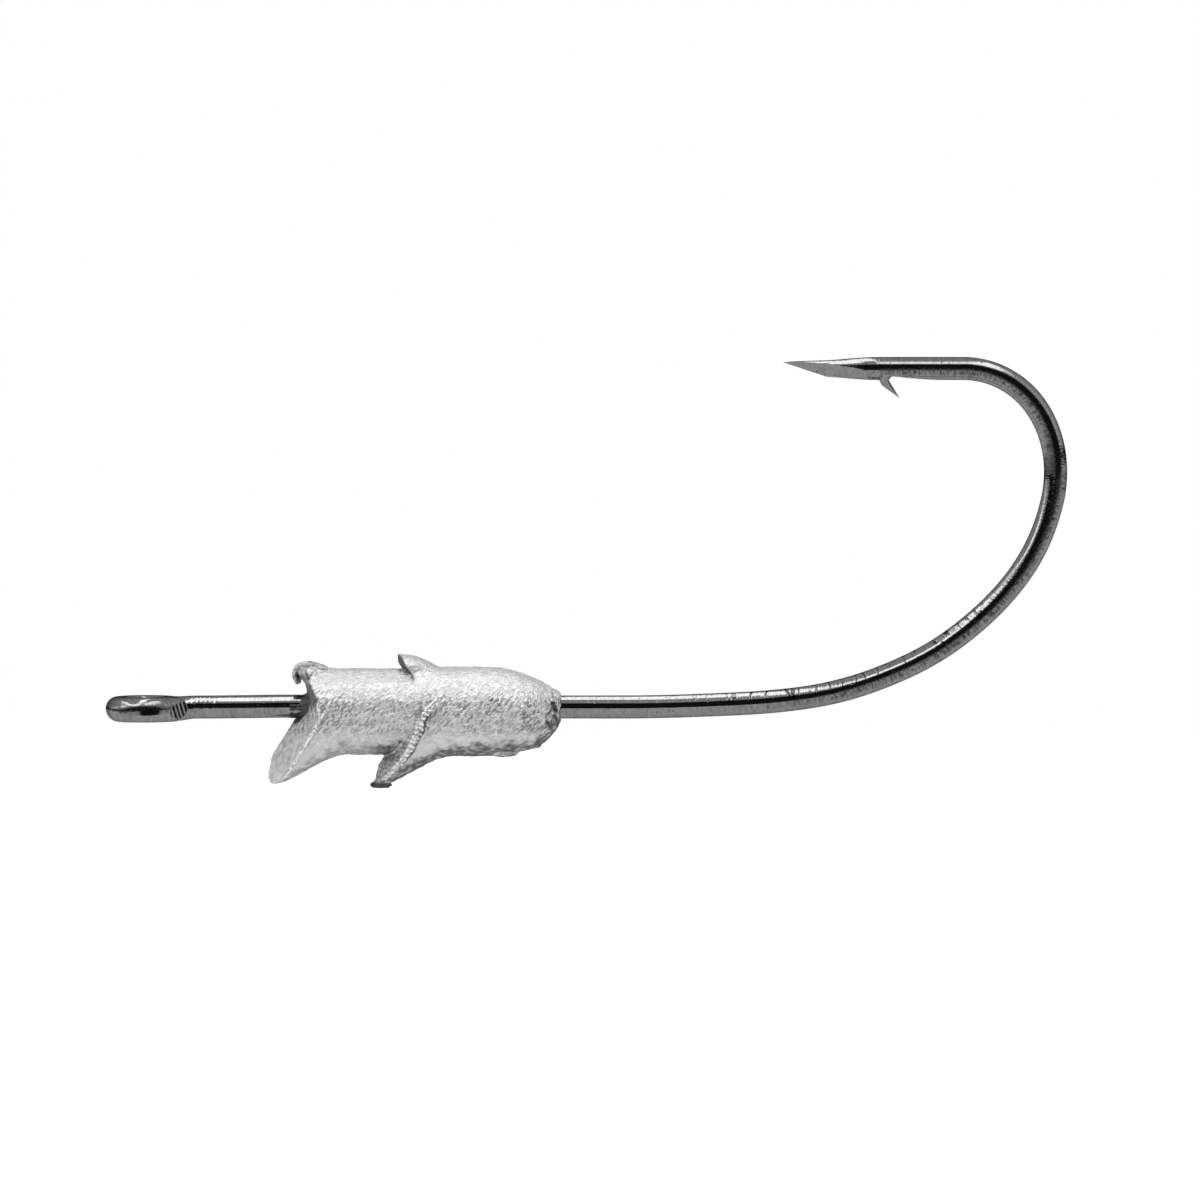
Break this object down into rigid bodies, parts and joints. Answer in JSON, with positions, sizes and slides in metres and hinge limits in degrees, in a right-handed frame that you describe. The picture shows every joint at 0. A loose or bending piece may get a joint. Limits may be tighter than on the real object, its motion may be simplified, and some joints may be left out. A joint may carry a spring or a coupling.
{
  "type": "jig head",
  "caption": "Wire hook with a closed line eye, a wide round bend and a cast, double-barbed bait-keeper weight on its shank.",
  "frame": {"origin": "centre of the line eye", "axes": "+X along the shank from the eye towards the bend, +Z along the eye's axis and towards the side that the point is on, +Y square to the hook's plane"},
  "size_m": [0.0601, 0.0054, 0.0268],
  "materials": {
    "plated_steel": "bright black-nickel plate over tempered spring steel",
    "cast_lead": "bare lead as cast, finely frosted, with a little flash"
  },
  "bodies": {
    "root": {"hook": "plated_steel", "cast_weight": "cast_lead"}
  },
  "joints": []
}
